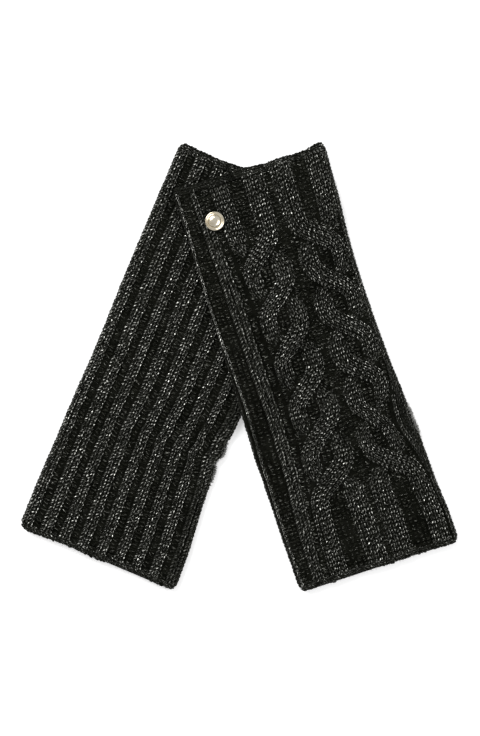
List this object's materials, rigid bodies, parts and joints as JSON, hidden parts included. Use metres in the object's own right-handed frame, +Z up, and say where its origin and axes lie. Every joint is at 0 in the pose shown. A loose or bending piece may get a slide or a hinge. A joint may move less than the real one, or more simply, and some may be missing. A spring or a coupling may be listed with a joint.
{
  "type": "pair of knitted arm warmers",
  "caption": "Long fingerless knitted arm warmers laid flat and crossed: cable panel on the back, ribbed palm, open ends, thumb slit, and a plain round metal stud.",
  "frame": {"origin": "on the surface the pair lies on, under the middle of its outline", "axes": "+Z up from the surface, +Y towards the arm ends at the top of the picture, +X to the picture's right"},
  "size_m": [0.275, 0.282, 0.0174],
  "materials": {
    "cable_knit": "near-black yarn with a fine silvery metallic thread, cable knit on a purl ground",
    "rib_knit": "near-black yarn with a fine silvery metallic thread, two-by-two rib",
    "welt_knit": "near-black yarn with little metallic thread, rolled cast-on and cast-off edges",
    "stud_metal": "polished pale metal, slightly warm"
  },
  "bodies": {
    "root": {"under_cable_panel": "cable_knit", "under_rib_panel": "rib_knit", "over_rib_panel": "rib_knit", "over_cable_panel": "cable_knit", "under_cable_arm_welt": "welt_knit", "under_cable_hand_welt": "welt_knit", "under_rib_arm_welt": "welt_knit", "under_rib_hand_welt": "welt_knit", "over_cable_arm_welt": "welt_knit", "over_cable_hand_welt": "welt_knit", "over_rib_arm_welt": "welt_knit", "over_rib_hand_welt": "welt_knit", "metal_stud": "stud_metal"}
  },
  "joints": []
}
